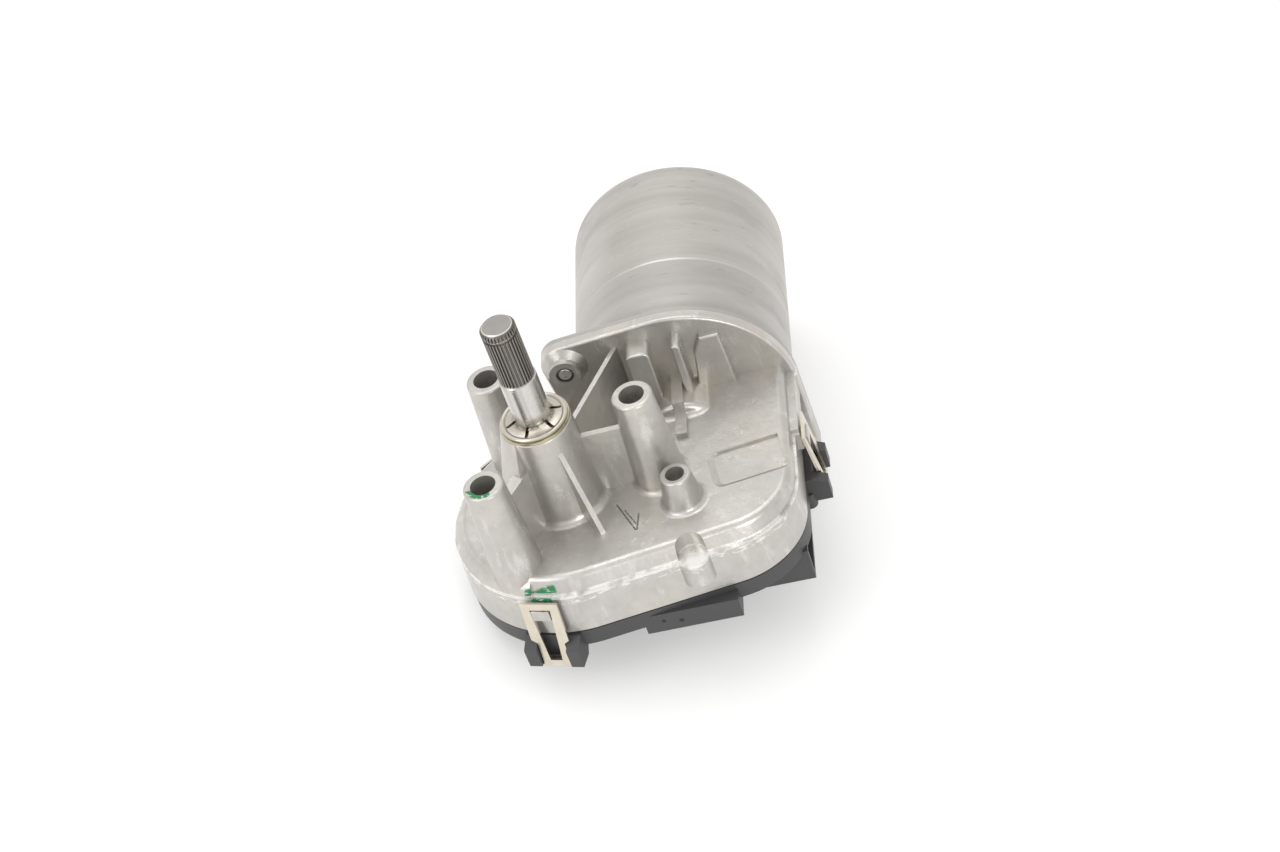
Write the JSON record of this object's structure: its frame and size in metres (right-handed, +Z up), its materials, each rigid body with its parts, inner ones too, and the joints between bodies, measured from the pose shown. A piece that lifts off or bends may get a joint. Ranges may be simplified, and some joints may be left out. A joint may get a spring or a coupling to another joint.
{
  "type": "wiper motor",
  "caption": "Direct-current wiper motor with worm gear: cast housing with mounting bosses, steel motor can, serrated output shaft and clipped cover.",
  "frame": {"origin": "on the output shaft's axis, at the lower end of its smooth seat, just above the star nut", "axes": "+Z up along the output shaft towards its serrated end, +Y along the motor can away from the gear case"},
  "size_m": [0.1199, 0.1748, 0.1225],
  "materials": {
    "cast_aluminium": "satin as cast",
    "drawn_steel": "satin drawn",
    "plated_steel": "zinc plated",
    "shaft_steel": "ground",
    "pale_gold_steel": "thin chromate",
    "yellow_chromate": "yellow chromate",
    "clip_steel": "stamped",
    "black_rubber": "matte",
    "black_plastic": "fine moulded texture",
    "bronze": "sintered",
    "white_plastic": "moulded",
    "ferrite": "pressed",
    "electric_steel": "laminated",
    "copper": "bare",
    "bearing_steel": "polished",
    "brass": "drawn",
    "carbon": "pressed carbon",
    "board_green": "lacquered",
    "relay_black": "moulded",
    "brown_plastic": "phenolic",
    "can_aluminium": "bright"
  },
  "bodies": {
    "motor": {"gear_housing": "cast_aluminium", "motor_can": "drawn_steel", "can_screws": "plated_steel", "seat_washer": "yellow_chromate", "shaft_seal": "black_rubber", "upper_bush": "bronze", "lower_bush": "bronze", "thrust_washer": "brown_plastic", "front_bearing_outer": "bearing_steel", "front_bearing_balls": "bearing_steel", "bearing_retainer": "plated_steel", "tip_bush": "bronze", "thrust_pad": "brown_plastic", "rear_bush": "bronze", "rear_bush_clip": "plated_steel", "field_magnets": "ferrite", "brush_holder": "brown_plastic", "brush_tubes": "brass", "carbon_brushes": "carbon", "brush_springs": "plated_steel", "suppression_chokes": "ferrite", "cover_gasket": "black_rubber", "gearbox_cover": "black_plastic", "cover_clips": "clip_steel", "circuit_board": "board_green", "motor_relays": "relay_black", "board_capacitor": "can_aluminium", "hall_sensors": "relay_black", "connector_pins": "brass", "motor_leads": "copper", "breather_cap": "black_plastic"},
    "armature": {"armature_shaft": "shaft_steel", "lamination_stack": "electric_steel", "armature_windings": "copper", "commutator": "copper", "front_bearing_inner": "bearing_steel"},
    "output": {"output_shaft": "shaft_steel", "push_nut": "pale_gold_steel", "worm_wheel": "white_plastic", "wheel_hub": "plated_steel", "retaining_ring": "plated_steel", "position_magnet": "ferrite"}
  },
  "joints": [
    {"name": "armature_spin", "type": "hinge", "parent": "motor", "child": "armature", "pos_m": [0.0384, 0, -0.0461], "axis": [0, 1, 0], "continuous": true},
    {"name": "output_spin", "type": "hinge", "parent": "motor", "child": "output", "pos_m": [0, 0, 0], "axis": [0, 0, 1], "continuous": true}
  ],
  "couplings": [
    {"joint": "output_spin", "follows": "armature_spin", "ratio": -0.016393}
  ]
}
